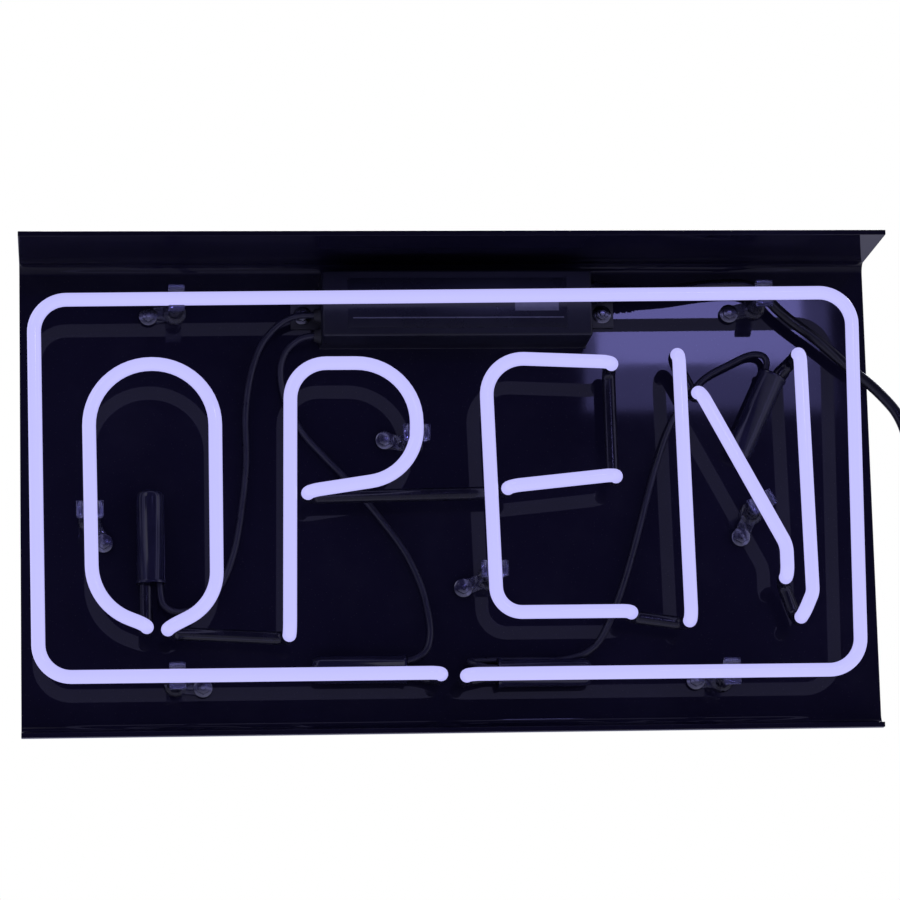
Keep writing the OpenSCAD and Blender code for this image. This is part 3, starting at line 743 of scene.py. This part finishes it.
@dataclass
class MainsCord:
    """Mains cord with its spare length coiled, its tie and its plug."""

    shop: Workshop
    coil_centre: Point = (319.0, -22.0, 11.0)
    coil_radius: float = 36.0
    bundle_radius: float = 7.49
    turns: int = 6
    steps_a_turn: int = 48
    plug_top: Point = (293.0, -84.0, 11.0)
    start: Point = (81.0, 119.0, 17.0)
    route: tuple[Point, ...] = (
        (96, 119, 17), (114, 119, 17), (134, 120.5, 17), (156, 123.5, 16), (174, 124.5, 15), (183, 123, 15),
        (190.5, 118.5, 14.5), (198, 110, 14), (207.5, 101.5, 14), (220.5, 91.5, 14), (230, 83.5, 13),
        (238.5, 76, 12), (247, 69.5, 10), (255, 63, 9), (262.5, 55.5, 8.5), (269, 47.5, 8.5),
        (273.2, 38.5, 9), (275.5, 29, 9.5), (276.3, 19, 10.2), (276, 8, 10.6))

    def build(self) -> None:
        path = smooth_path(vectors([self.start, *self.route]) + self.coil_line() + self.tail_line(), 4)
        world_path = [STAND_UP @ point for point in path]
        data = round_curve("mains_cord", world_path, CORD_DIAMETER / 2 * MM, 5)
        cord = bpy.data.objects.new("mains_cord", data)
        bpy.context.scene.collection.objects.link(cord)
        self.shop.dress(cord, Finishes.CORD, ["power_cord", "cord_coil", "cord_tail"])
        length = sum((b - a).length for a, b in zip(world_path, world_path[1:]))
        log.info("mains cord: %.3f m", length)
        on_cord = [self.add_tie(), self.add_plug(), self.add_pins()]

    def coil_line(self) -> list[Vector]:
        """Winds the turns side by side, each a diameter from the next."""
        line = []
        centre = Vector(self.coil_centre)
        total = self.turns * self.steps_a_turn
        for step in range(0, total + 1, 2):
            turn = step / self.steps_a_turn
            lay = math.tau * turn / (self.turns + 1)
            radius = self.coil_radius + self.bundle_radius * math.cos(lay)
            angle = math.pi + math.tau * turn
            line.append(centre + Vector((radius * math.cos(angle), radius * math.sin(angle),
                                         self.bundle_radius * math.sin(lay))))
        return line

    def tail_line(self) -> list[Vector]:
        """Leads the cord from the coil down to the plug."""
        return vectors([(277.6, -34, 4.6), (278.2, -46, 5.0), (280.5, -58, 6.6), (284.5, -68, 8.6),
                        (289.5, -77, 10.3), self.plug_top, (293, -92, 11)])

    def add_tie(self) -> bpy.types.Object:
        """Straps the coil's turns together at the top."""
        centre = Vector(self.coil_centre) + Vector((0, self.coil_radius, 0))
        band = turned([(11.2, -4), (11.5, -4.5), (12.2, -4.5), (12.5, -4), (12.5, 4), (12.2, 4.5),
                       (11.5, 4.5), (11.2, 4)], 48, closed=True)
        grips = [placed(block((-0.45, -1.6, -4.2), (0.45, 1.6, 4.2), 0.2),
                        Matrix.Rotation(math.radians(angle), 4, "Z") @ Matrix.Translation((12.3, 0, 0)))
                 for angle in range(-30, 31, 12)]
        mesh = placed(joined([band, *grips]), axes_matrix(centre, Vector((1, 0, 0)), Vector((0, 0, 1))))
        return self.shop.piece("cord_strap", mesh, Finishes.LEAD, ["cord_tie"])

    def plug_matrix(self) -> Matrix:
        """Places a shape drawn along z where the plug hangs, pointing down."""
        return axes_matrix(Vector(self.plug_top), Vector((0, -1, 0)), Vector((1, 0, 0)))

    def add_plug(self) -> bpy.types.Object:
        """Moulds the plug: a ribbed neck, a collar and a body with finger grips."""
        neck = [(0, 0)]
        for rib in range(5):
            height = 1.2 + 2.2 * rib
            radius = 4.3 + 0.75 * rib
            neck += [(radius, height - 1.1), (radius, height + 0.3), (radius - 0.7, height + 0.6)]
        neck += [(7.6, 11.2), (9.3, 12.2), (9.5, 15.5), (9.0, 17), (0, 17)]
        parts = [turned(neck, 36), block((-11.6, -8.6, 15.5), (11.6, 8.6, 33.8), 2.2, 4)]
        for side in (-1, 1):
            for row in range(4):
                low = (side * 11.55 - 0.4, -6, 18.5 + 3 * row)
                high = (side * 11.55 + 0.4, 6, 20.0 + 3 * row)
                parts.append(block(low, high, 0.35))
        mesh = placed(joined(parts), self.plug_matrix())
        return self.shop.piece("mains_plug", mesh, Finishes.PLUG, ["plug"])

    def add_pins(self) -> bpy.types.Object:
        """Sets the two blades and the earth pin in the plug's face."""
        blades = [block((x - 0.75, -0.9, 33), (x + 0.75, 5.4, 50.8), 0.5, 3) for x in (-6.35, 6.35)]
        pin = placed(turned([(0, 33), (2.4, 33), (2.4, 51), (2.1, 52.2), (1.2, 52.9), (0, 53)], 28),
                     Matrix.Translation((0, -5.2, 0)))
        mesh = placed(joined([*blades, pin]), self.plug_matrix())
        return self.shop.piece("plug_blades", mesh, Finishes.PIN, ["plug_pins"])


@dataclass
class Backboard:
    """The folded sheet of gloss-black acrylic."""

    shop: Workshop
    width: float = 508.0
    height: float = 280.0
    hood: float = 76.0
    lip: float = 11.0
    fold: float = 6.0
    fold_steps: int = 20

    def outline(self) -> list[Vector]:
        """Draws the sheet's section, with y up and z forward."""
        half = self.height / 2
        start = half - self.fold
        points = []
        for radius, turn in ((self.fold, 1), (self.fold + SHEET, -1)):
            side = []
            for sign in (-1, 1):
                arc = [(-radius * math.cos(angle), radius * math.sin(angle))
                       for angle in (math.pi / 2 * k / self.fold_steps for k in range(self.fold_steps + 1))]
                fold = [Vector((0, sign * (start + up), self.fold + ahead)) for ahead, up in arc]
                reach = self.lip if sign < 0 else self.hood
                fold.append(Vector((0, sign * (start + radius), reach)))
                side += fold[::-1] if sign < 0 else fold
            points += side[::turn]
        return points

    def build(self, screws: Sequence[Point]) -> None:
        """Folds the sheet, polishes its edges and sinks a hole for each screw.

        Args:
            screws: Where the screws stand on the panel.
        """
        mesh = bmesh.new()
        shift = Vector((-self.width / 2, 0, 0))
        face = mesh.faces.new([mesh.verts.new(point + shift) for point in self.outline()])
        swept = bmesh.ops.extrude_face_region(mesh, geom=[face])
        moved = [item for item in swept["geom"] if isinstance(item, bmesh.types.BMVert)]
        bmesh.ops.translate(mesh, vec=(self.width, 0, 0), verts=moved)
        bmesh.ops.recalc_face_normals(mesh, faces=mesh.faces)
        bevel_sharp(mesh, 0.3, 2, 60)
        board = self.shop.piece("acrylic_board", mesh, Finishes.BOARD, ["backboard"], sharp=25)
        sink = [(0, -SHEET - 1), (3.85, -SHEET - 1), (3.85, -SHEET), (2.15, -SHEET + 1.6), (2.15, 1), (0, 1)]
        cutters = joined([placed(turned(sink, 24), Matrix.Translation((x, y, 0))) for x, y, _ in screws])
        self.cut(board, cutters)

    def cut(self, board: bpy.types.Object, cutters: bmesh.types.BMesh) -> None:
        """Cuts the holes out of the board's mesh, and keeps its flat faces flat in the light."""
        bmesh.ops.transform(cutters, matrix=STAND_UP, verts=cutters.verts)
        data = bpy.data.meshes.new("cutters")
        cutters.to_mesh(data)
        cutters.free()
        tool = bpy.data.objects.new("cutters", data)
        bpy.context.scene.collection.objects.link(tool)
        drill = board.modifiers.new("drill", "BOOLEAN")
        drill.object = tool
        drill.operation = "DIFFERENCE"
        drill.solver = "EXACT"
        bpy.context.view_layer.update()
        drilled = bpy.data.meshes.new_from_object(board.evaluated_get(bpy.context.evaluated_depsgraph_get()))
        board.modifiers.clear()
        whole = board.data
        board.data = drilled
        drilled.name = board.name
        drilled.set_sharp_from_angle(angle=math.radians(25))
        for polygon in drilled.polygons:
            polygon.use_smooth = max(abs(part) for part in polygon.normal) < SQUARE_ON
        bpy.data.meshes.remove(whole)
        bpy.data.objects.remove(tool)
        bpy.data.meshes.remove(data)


@dataclass(frozen=True)
class Boot:
    """A boot's place: the middle of its mouth, the way in, and the side that the lead lies on."""

    mouth: Vector
    way_in: Vector
    side: Vector

    def glass_at(self, depth: float) -> Vector:
        """Finds the glass's middle at a depth in the boot."""
        return self.mouth - self.side.normalized() * GLASS_ASIDE + self.way_in.normalized() * depth


BOOTS = {
    "o": Boot(Vector((-178, -54, BOOT_HEIGHT)), Vector((0, 1, 0)), Vector((1, 0, 0))),
    "n": Boot(Vector((194.8, 69.4, BOOT_HEIGHT)), Vector((-27, -56, 0)), Vector((-56, 27, 0))),
    "border_left": Boot(Vector((-29, -105.5, BOOT_HEIGHT)), Vector((-1, 0, 0)), Vector((0, 1, 0))),
    "border_right": Boot(Vector((24, -108.5, BOOT_HEIGHT)), Vector((1, 0, 0)), Vector((0, 1, 1.75))),
}


# The two glass ends that each crossover joins, as a letter and its first or last corner
CROSSOVERS = {
    "o_p": (("letter_o", -1), ("letter_p", 0)),
    "p_e": (("letter_p", -1), ("letter_e_bar", 0)),
    "e_e": (("letter_e_bar", -1), ("letter_e", 0)),
    "e_n": (("letter_e", -1), ("letter_n_left", -1)),
    "n_top": (("letter_n_left", 0), ("letter_n_diagonal", 0)),
    "n_bottom": (("letter_n_diagonal", -1), ("letter_n_right", -1)),
}


@dataclass
class Glasswork:
    """Lit glass, blacked-out crossovers, electrode ends and their boots."""

    shop: Workshop
    corner: float = 19.0
    corner_leg: float = 23.0
    glass_in_boot: float = 46.0
    boot_length: float = 56.0
    border: dict[str, Spot] = field(default_factory=lambda: {
        "bl": (-243.5, -112), "tl": (-245.3, 110), "tr": (238.5, 113), "br": (235, -113),
        "end_left": (-11, -112), "end_right": (4, -113)})
    letters: dict[str, tuple[tuple[Spot, ...], tuple[float, ...]]] = field(default_factory=lambda: {
        "letter_o": (((-181.2, -82.5), (-212.5, -70), (-214, 71.5), (-140.2, 71.5), (-140.7, -70),
                      (-169, -84)), (34, 36.3, 36.3, 30)),
        "letter_p": (((-98.8, -88), (-95.9, 71.5), (-22.5, 71.5), (-22.5, 5), (-86.5, -4.5)),
                     (21.5, 35, 32)),
        "letter_e": (((94.5, 71.5), (18.6, 74.5), (22, -77), (101.5, -77)), (22, 15)),
        "letter_e_bar": (((31, -2.5), (95, 4)), ()),
        "letter_n_left": (((133.8, 77), (135.9, -82)), ()),
        "letter_n_diagonal": (((145.5, 54), (193.7, -39), (193.7, -57)), (18,)),
        "letter_n_right": (((206.3, 77), (208.2, -67), (202, -80.5)), (12,))})

    def build(self) -> None:
        """Bends all the glass and pulls the boots over its ends."""
        self.add_border()
        for name, (corners, bends) in self.letters.items():
            front = [Vector((*corner, GLASS_HEIGHT)) for corner in corners]
            route = [self.behind(front[0], LIT_END_HEIGHT), *front, self.behind(front[-1], LIT_END_HEIGHT)]
            self.bend(f"{name}_glass", route, (TURN_BACK, *bends, TURN_BACK), Finishes.LIT, name)
        for name, joins in CROSSOVERS.items():
            first, last = (self.letters[letter][0][end] for letter, end in joins)
            route = [Vector((*first, LIT_END_HEIGHT)), Vector((*first, CROSSOVER_HEIGHT)),
                     Vector((*last, CROSSOVER_HEIGHT)), Vector((*last, LIT_END_HEIGHT))]
            self.bend(f"blacked_{name}", route, (TURN_BACK, TURN_BACK), Finishes.BLACKED,
                      f"crossover_{name}")
        self.add_end("o", self.letters["letter_o"][0][0], [])
        self.add_end("n", self.letters["letter_n_right"][0][0], [BOOTS["n"].glass_at(-2.5)])
        for side in ("left", "right"):
            turn = BOOTS[f"border_{side}"].glass_at(-6)
            self.add_end(f"border_{side}", self.border[f"end_{side}"], [turn], EASE)
        for name, boot in BOOTS.items():
            self.add_boot(name, boot)

    def behind(self, point: Vector, height: float) -> Vector:
        """Finds the point at another height over the same place on the panel."""
        return Vector((point.x, point.y, height))

    def bend(self, name: str, route: Sequence[Vector], bends: Sequence[float], finish: Finishes,
             node: str) -> None:
        """Bends one length of glass tube along its corners."""
        self.shop.piece(name, tube(bent_path(route, bends), GLASS_RADIUS), finish, [node], sharp=60)

    def add_border(self) -> None:
        """Bends the border's five runs."""
        spot = {name: Vector((*place, GLASS_HEIGHT)) for name, place in self.border.items()}

        def leg(corner: str, towards: str) -> Vector:
            """Finds the end of a corner's leg."""
            return spot[corner] + (spot[towards] - spot[corner]).normalized() * self.corner_leg

        self.bend("border_top_glass", [leg("tl", "tr"), leg("tr", "tl")], (), Finishes.LIT, "border_top")
        both = (self.corner, self.corner)
        self.bend("border_left_glass", [leg("tl", "tr"), spot["tl"], spot["bl"], leg("bl", "end_left")],
                  both, Finishes.LIT, "border_left")
        self.bend("border_right_glass", [leg("tr", "tl"), spot["tr"], spot["br"], leg("br", "end_right")],
                  both, Finishes.LIT, "border_right")
        for corner, end, side in (("bl", "end_left", "left"), ("br", "end_right", "right")):
            self.bend(f"border_bottom_{side}_glass",
                      [leg(corner, end), spot[end], self.behind(spot[end], LIT_END_HEIGHT)],
                      (TURN_BACK,), Finishes.LIT, f"border_bottom_{side}")

    def add_end(self, name: str, lit_end: Spot, turns: list[Vector],
                ease: float = TURN_BACK) -> None:
        """Leads the glass from a lit end into its boot.

        Args:
            name: The boot's name.
            lit_end: Where the glass leaves the face.
            turns: The corners on the way to the boot.
            ease: The centre-line radius at those corners.
        """
        tip = BOOTS[name].glass_at(self.glass_in_boot)
        route = [Vector((*lit_end, LIT_END_HEIGHT)), Vector((*lit_end, tip.z)), *turns, tip]
        bends = [TURN_BACK] + [ease] * len(turns)
        self.bend(f"glass_end_{name}", route, bends, Finishes.BLACKED, f"end_{name}")

    def add_boot(self, name: str, boot: Boot) -> None:
        """Moulds a boot: a thin shell with a rolled mouth and a rounded closed end."""
        far = self.boot_length
        outer = [(8.85, 0.5), (8.95, 1.3), (8.8, 2.2), (8.25, 2.7), (8.25, far - 5), (8.0, far - 2.8),
                 (7.1, far - 1.1), (5.4, far - 0.25), (3, far), (0, far)]
        inner = [(0, far - 1.6), (4.8, far - 1.7), (6.5, far - 2.6), (7.2, far - 4.6), (7.2, 0.6),
                 (7.6, 0), (8.4, 0)]
        mesh = placed(turned(outer + inner, 40), axes_matrix(boot.mouth, boot.way_in, boot.side))
        self.shop.piece(f"silicone_boot_{name}", mesh, Finishes.BOOT, [f"boot_{name}"], sharp=50)


@dataclass
class LeadSet:
    """The three high-voltage leads behind the letters."""

    shop: Workshop
    routes: dict[str, tuple[Point, ...]] = field(default_factory=lambda: {
        "o": ((-70, 106, 15), (-90, 106, 15), (-102, 100, 13), (-112, 88, 10), (-118, 70, 7), (-121, 48, 5),
              (-121, 20, 5), (-124, -8, 5), (-129, -34, 5), (-137, -54, 5), (-149, -66, 6), (-162, -70, 9),
              (-170.5, -66.5, 11), (-172.8, -58, 11), (-172.8, -48, 11), (-172.8, -12, 11)),
        "border": ((-70, 94, 15), (-86, 93, 15), (-96, 86, 12), (-100, 74, 8), (-97, 56, 5), (-87, 37, 5),
                   (-73, 21, 5), (-58, 5, 5), (-42, -15, 5), (-28, -35, 5), (-19, -55, 5), (-15, -73, 6),
                   (-14.5, -86, 8), (-18, -95.5, 10), (-27, -100.3, 11), (-38, -100.3, 11),
                   (-70, -100.3, 11)),
        "n": ((172.8, 35.7, 11), (186, 63.2, 11), (190.5, 72.5, 11), (191.6, 78.5, 10), (188.5, 82.5, 8),
              (181, 82.5, 6), (169, 77, 5), (156, 70, 5), (146, 60, 5), (133, 41, 5), (122, 12, 5),
              (111.5, -24, 5), (101, -57, 5), (90, -83, 5), (80, -95, 5), (64, -100.1, 4), (42, -100.1, 4),
              (22, -100.1, 4), (12, -100.6, 6), (8, -101.6, 10.5), (11.5, -103.6, 14.5), (18, -105.6, 15.6),
              (26, -105.9, 15.5), (66, -105.9, 15.5))})

    def build(self) -> None:
        """Runs each lead along its route."""
        for name, route in self.routes.items():
            mesh = tube(smooth_path(vectors(route)), LEAD_RADIUS, 5)
            self.shop.piece(f"high_voltage_lead_{name}", mesh, Finishes.LEAD, [f"lead_{name}"], sharp=60)


@dataclass(frozen=True)
class SupportPlace:
    """Where a support stands, the glass's direction there and the ear's direction, in degrees."""

    x: float
    y: float
    glass: float
    ear: float

    def screw(self, reach: float) -> Point:
        """Finds the screw in the foot's ear."""
        angle = math.radians(self.ear)
        return (self.x + reach * math.cos(angle), self.y + reach * math.sin(angle), 3.0)


@dataclass
class SupportSet:
    """The clear supports, and the screws and nuts that hold them."""

    shop: Workshop
    reach: float = 16.0
    saddle_length: float = 9.5
    saddle_radius: float = 8.0
    saddle_gap: float = 0.1
    opening: float = 78.0
    places: dict[str, SupportPlace] = field(default_factory=lambda: {
        "top_left": SupportPlace(-162, 111, 0, 188), "top_right": SupportPlace(186.5, 112.7, 0, 193),
        "bottom_left": SupportPlace(-164, -112, 0, -8), "bottom_right": SupportPlace(159, -113, 0, 180),
        "o": SupportPlace(-213.4, -14, 90, -60), "p": SupportPlace(-22.6, 30, 90, 170),
        "e": SupportPlace(21.3, -51, 90, 200), "n": SupportPlace(180, -13, -62, -115)})
    supply_screws: tuple[Point, ...] = ((-86, 109, 2), (94, 109, 2))

    def screws(self) -> list[Point]:
        """Lists every screw on the panel, with the height that its nut stands on."""
        return [place.screw(self.reach) for place in self.places.values()] + list(self.supply_screws)

    def build(self) -> None:
        """Builds the supports and all the fasteners."""
        for name, place in self.places.items():
            self.shop.piece(f"clear_support_{name}", self.support(place), Finishes.SUPPORT,
                            [f"support_{name}"])
        nuts = joined([self.nut(*screw) for screw in self.screws()])
        self.shop.piece("flange_nuts", nuts, Finishes.STEEL, ["mounting_nuts"], sharp=30)
        bolts = joined([self.bolt(x, y) for x, y, _ in self.screws()])
        self.shop.piece("countersunk_screws", bolts, Finishes.STEEL, ["mounting_screws"], sharp=30)

    def ring_matrix(self, place: SupportPlace) -> Matrix:
        """Places a ring drawn round z on the glass, with its x forward."""
        angle = math.radians(place.glass)
        along = Vector((math.cos(angle), math.sin(angle), 0))
        return axes_matrix(Vector((place.x, place.y, GLASS_HEIGHT)), along, Vector((0, 0, 1)))

    def support(self, place: SupportPlace) -> bmesh.types.BMesh:
        """Moulds one support: a round foot, a screwed ear, a waisted post and a saddle."""
        post = turned([(0, 0), (6.7, 0), (7, 0.3), (7, 2.3), (6.6, 2.9), (5.2, 3.3), (4.1, 4.6), (3.6, 7.5),
                       (3.5, 14), (3.9, 26), (4.4, 33), (4.5, 36), (0, 36)], 32)
        ear = block((3.5, -4.5, 0.05), (self.reach - 2.2, 4.5, 2.9), 0.5)
        tip = placed(turned([(0, 0), (4.8, 0), (5, 0.3), (5, 2.6), (4.6, 3), (0, 3)], 28),
                     Matrix.Translation((self.reach, 0, 0)))
        web = block((3.3, -0.9, 2.5), (6.6, 0.9, 7.5), 0.4)
        foot = placed(joined([ear, tip, web]), Matrix.Rotation(math.radians(place.ear), 4, "Z"))
        stand = placed(joined([post, foot]), Matrix.Translation((place.x, place.y, 0)))
        saddle = part_ring(GLASS_RADIUS + self.saddle_gap, self.saddle_radius, self.saddle_length,
                           self.opening, 360 - 2 * self.opening, 0.7)
        saddle = placed(saddle, self.ring_matrix(place))
        return joined([stand, saddle])

    def nut(self, x: float, y: float, height: float) -> bmesh.types.BMesh:
        """Makes one flanged hex nut."""
        flange = turned([(2.1, 0), (5.4, 0), (5.6, 0.3), (5.5, 0.7), (4.3, 1.3), (2.1, 1.3)], 36,
                        closed=True)
        body = placed(prism(6, 4.04, 3.1, 0.3), Matrix.Translation((0, 0, 0.9)))
        return placed(joined([flange, body]), Matrix.Translation((x, y, height)))

    def bolt(self, x: float, y: float) -> bmesh.types.BMesh:
        """Makes one screw: a recessed flush head, a shank and a threaded tip."""
        profile = [(0, 0.9), (1.5, 0.9), (1.6, 0.05), (3.5, 0.02), (3.6, 0.15), (2.0, 1.6)]
        profile += [(1.98 if k % 2 else 1.72, 5.5 + 0.25 * k) for k in range(19)]
        profile += [(1.5, 10.4), (0, 10.5)]
        return placed(turned(profile, 24), Matrix.Translation((x, y, -SHEET)))


@dataclass
class PowerSupply:
    """The high-voltage supply: its case, label, bushings, gland and inner pieces."""

    shop: Workshop
    centre: Spot = (4.0, 109.0)
    length: float = 160.0
    width: float = 40.0
    depth: float = 36.0
    base: float = 2.0
    bushings: tuple[float, ...] = (106.0, 94.0)
    gland: Spot = (119.0, 17.0)

    def build(self) -> None:
        """Builds the outer pieces and gives the inner ones their finishes."""
        self.add_case()
        self.add_label()
        self.add_bushings()
        self.add_gland()
        for node, finish in (
                ("supply_base", Finishes.BASE), ("circuit_board", Finishes.BOARD_GREEN),
                ("ferrite_core", Finishes.FERRITE), ("winding", Finishes.COPPER),
                ("capacitors", Finishes.SLEEVE), ("heat_sink", Finishes.ALUMINIUM),
                ("electrodes", Finishes.ELECTRODE)):
            self.shop.repaint(node, finish)

    def add_case(self) -> None:
        """Moulds the case as an open-backed shell with rounded edges."""
        x, y = self.centre
        low = (x - self.length / 2, y - self.width / 2, self.base)
        high = (x + self.length / 2, y + self.width / 2, self.depth)
        mesh = block(low, high, 0)
        back = [face for face in mesh.faces if face.normal.z < -0.9]
        bmesh.ops.delete(mesh, geom=back, context="FACES_ONLY")
        bevel_sharp(mesh, 1.6, 4)
        bmesh.ops.solidify(mesh, geom=mesh.faces[:], thickness=2.0)
        bmesh.ops.recalc_face_normals(mesh, faces=mesh.faces)
        self.shop.piece("supply_housing", mesh, Finishes.CASE, ["supply_case"], sharp=40)

    def add_label(self) -> None:
        """Sticks on a blank label with a plain rule and a plain field."""
        x, y = self.centre
        top = self.depth + 0.25
        film = block((x - 65, y - 15, self.depth - 0.1), (x + 65, y + 15, top), 0.1)
        self.shop.piece("supply_label", film, Finishes.LABEL, ["label_plate"])
        rule = block((x - 62, y - 9.4, top - 0.05), (x + 63, y - 8.6, top + 0.08), 0.03)
        plain = block((x + 34, y - 5, top - 0.05), (x + 60, y + 1, top + 0.08), 0.03)
        self.shop.piece("supply_label_print", joined([rule, plain]), Finishes.LABEL_PRINT,
                        slot="blank_label")

    def add_bushings(self) -> None:
        """Fits a rubber bushing round each lead at the case's left end."""
        left = self.centre[0] - self.length / 2
        profile = [(2.1, -4), (3.4, -4.2), (4.6, -1.2), (5.2, -0.1), (4, 0), (4, 2), (5.2, 2),
                   (5.2, 3.5), (2.1, 3.5)]
        rings = [placed(turned(profile, 32, closed=True),
                        axes_matrix(Vector((left, y, 15)), Vector((1, 0, 0)), Vector((0, 0, 1))))
                 for y in self.bushings]
        self.shop.piece("rubber_bushings", joined(rings), Finishes.BUSHING, ["lead_bushings"])

    def add_gland(self) -> None:
        """Fits the cord gland and its tapered, slotted strain relief."""
        y, height = self.gland
        right = self.centre[0] + self.length / 2
        sleeve = [(3.35, 3), (7.4, 3.4), (7.4, 5.2), (6.4, 6.0)]
        for rib in range(7):
            start = 7 + 3.6 * rib
            radius = 6.3 - 0.32 * rib
            sleeve += [(radius, start), (radius - 0.1, start + 2.2), (radius - 0.9, start + 2.5),
                       (radius - 0.9, start + 3.3)]
        sleeve += [(3.9, 32.5), (3.35, 32.6)]
        parts = [turned(sleeve, 36, closed=True), prism(6, 7.5, 4, 0.5),
                 placed(prism(6, 7, 3, 0.4), Matrix.Translation((0, 0, -5)))]
        matrix = axes_matrix(Vector((right, y, height)), Vector((1, 0, 0)), Vector((0, 0, 1)))
        self.shop.piece("gland_and_strain_relief", placed(joined(parts), matrix), Finishes.CASE,
                        ["cord_gland"], slot="supply_plastic")


def main() -> None:
    """Builds the sign round its CAD frame."""
    logging.basicConfig(level=logging.INFO, format="%(name)s %(message)s")
    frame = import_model()
    Studio().build()
    shop = Workshop(frame["nodes"], Paintbox())
    MainsCord(shop).build()
    supports = SupportSet(shop)
    Backboard(shop).build(supports.screws())
    Glasswork(shop).build()
    LeadSet(shop).build()
    supports.build()
    PowerSupply(shop).build()


if __name__ == "__main__":
    main()
